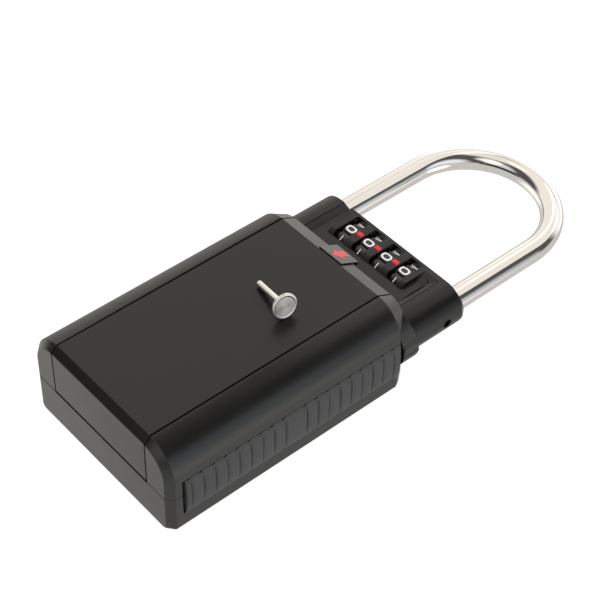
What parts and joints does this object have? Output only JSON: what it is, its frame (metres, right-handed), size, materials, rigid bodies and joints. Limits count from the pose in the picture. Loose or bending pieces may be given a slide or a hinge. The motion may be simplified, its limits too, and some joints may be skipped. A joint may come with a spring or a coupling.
{
  "type": "key lock box",
  "caption": "Portable key lock box: hinged-lid key compartment under a four-dial combination lock, with ribbed side grips and a round-bar shackle that hangs it on a rail or handle.",
  "frame": {"origin": "centre of the footprint, on the surface that the back face rests on", "axes": "+Z out of the lid, +Y from the hinge end towards the shackle bow (the longest extent), +X towards the side with the reset hole"},
  "size_m": [0.0732, 0.1972, 0.0444],
  "materials": {
    "case_black": "satin black paint on die-cast zinc",
    "lid_black": "satin black paint on die-cast zinc",
    "lock_black": "satin black paint on die-cast zinc",
    "tab_grey": "satin black paint",
    "grip_rubber": "matt moulded rubber",
    "seal_rubber": "smooth rubber",
    "dial_black": "glossy black with white printed digits",
    "red_mark": "red paint",
    "chrome": "polished plating",
    "aluminium": "turned, with fine rings",
    "steel": "bright steel",
    "zinc": "zinc-plated steel",
    "brass": "machined brass"
  },
  "bodies": {
    "case": {"base_shell": "case_black", "front_shell": "case_black", "lock_front": "lock_black", "lock_back": "lock_black", "hinge_pin": "steel", "reset_spring": "steel", "detent_comb": "steel", "index_marks": "red_mark", "plate_springs": "steel", "bulkhead": "case_black", "seal_left": "seal_rubber", "seal_right": "seal_rubber", "grip_left": "grip_rubber", "grip_right": "grip_rubber", "case_screws": "steel", "lock_screws": "steel"},
    "lid": {"lid": "lid_black", "lid_hook": "zinc", "tab_spring": "steel"},
    "tab": {"release_tab": "tab_grey", "arrow_mark": "red_mark"},
    "dial_1": {"dial_wheel_1": "dial_black", "dial_sleeve_1": "brass"},
    "dial_2": {"dial_wheel_2": "dial_black", "dial_sleeve_2": "brass"},
    "dial_3": {"dial_wheel_3": "dial_black", "dial_sleeve_3": "brass"},
    "dial_4": {"dial_wheel_4": "dial_black", "dial_sleeve_4": "brass"},
    "spindle": {"dial_spindle": "steel"},
    "plate": {"lock_plate": "zinc"},
    "shackle": {"shackle": "chrome"},
    "bolt": {"shackle_bolt": "zinc"},
    "pin": {"reset_pin": "aluminium"}
  },
  "joints": [
    {"name": "lid_hinge", "type": "hinge", "parent": "case", "child": "lid", "pos_m": [0, -0.09558, 0.021], "axis": [1, 0, 0], "range_deg": [0, 110]},
    {"name": "tab_slide", "type": "slide", "parent": "lid", "child": "tab", "axis": [0, -0.8913, 0.4535], "range_m": [0, 0.002], "stiffness_N_per_m": 150, "deforming": ["tab_spring"]},
    {"name": "dial_1_spin", "type": "hinge", "parent": "case", "child": "dial_1", "pos_m": [-0.01341, 0.01908, 0.016], "axis": [1, 0, 0], "continuous": true},
    {"name": "dial_2_spin", "type": "hinge", "parent": "case", "child": "dial_2", "pos_m": [-0.00447, 0.01908, 0.016], "axis": [1, 0, 0], "continuous": true},
    {"name": "dial_3_spin", "type": "hinge", "parent": "case", "child": "dial_3", "pos_m": [0.00447, 0.01908, 0.016], "axis": [1, 0, 0], "continuous": true},
    {"name": "dial_4_spin", "type": "hinge", "parent": "case", "child": "dial_4", "pos_m": [0.01341, 0.01908, 0.016], "axis": [1, 0, 0], "continuous": true},
    {"name": "spindle_push", "type": "slide", "parent": "case", "child": "spindle", "axis": [-1, 0, 0], "range_m": [0, 0.0015], "stiffness_N_per_m": 400, "deforming": ["reset_spring"]},
    {"name": "plate_throw", "type": "slide", "parent": "case", "child": "plate", "axis": [0, -1, 0], "range_m": [0, 0.003], "stiffness_N_per_m": 300, "deforming": ["plate_springs"]},
    {"name": "shackle_rise", "type": "slide", "parent": "case", "child": "shackle", "axis": [0, 1, 0], "range_m": [0, 0.016]},
    {"name": "bolt_throw", "type": "slide", "parent": "case", "child": "bolt", "axis": [-1, 0, 0], "range_m": [0, 0.0024]},
    {"name": "pin_lift", "type": "slide", "parent": "lid", "child": "pin", "axis": [0, 0, 1], "range_m": [0, 0.05]}
  ]
}
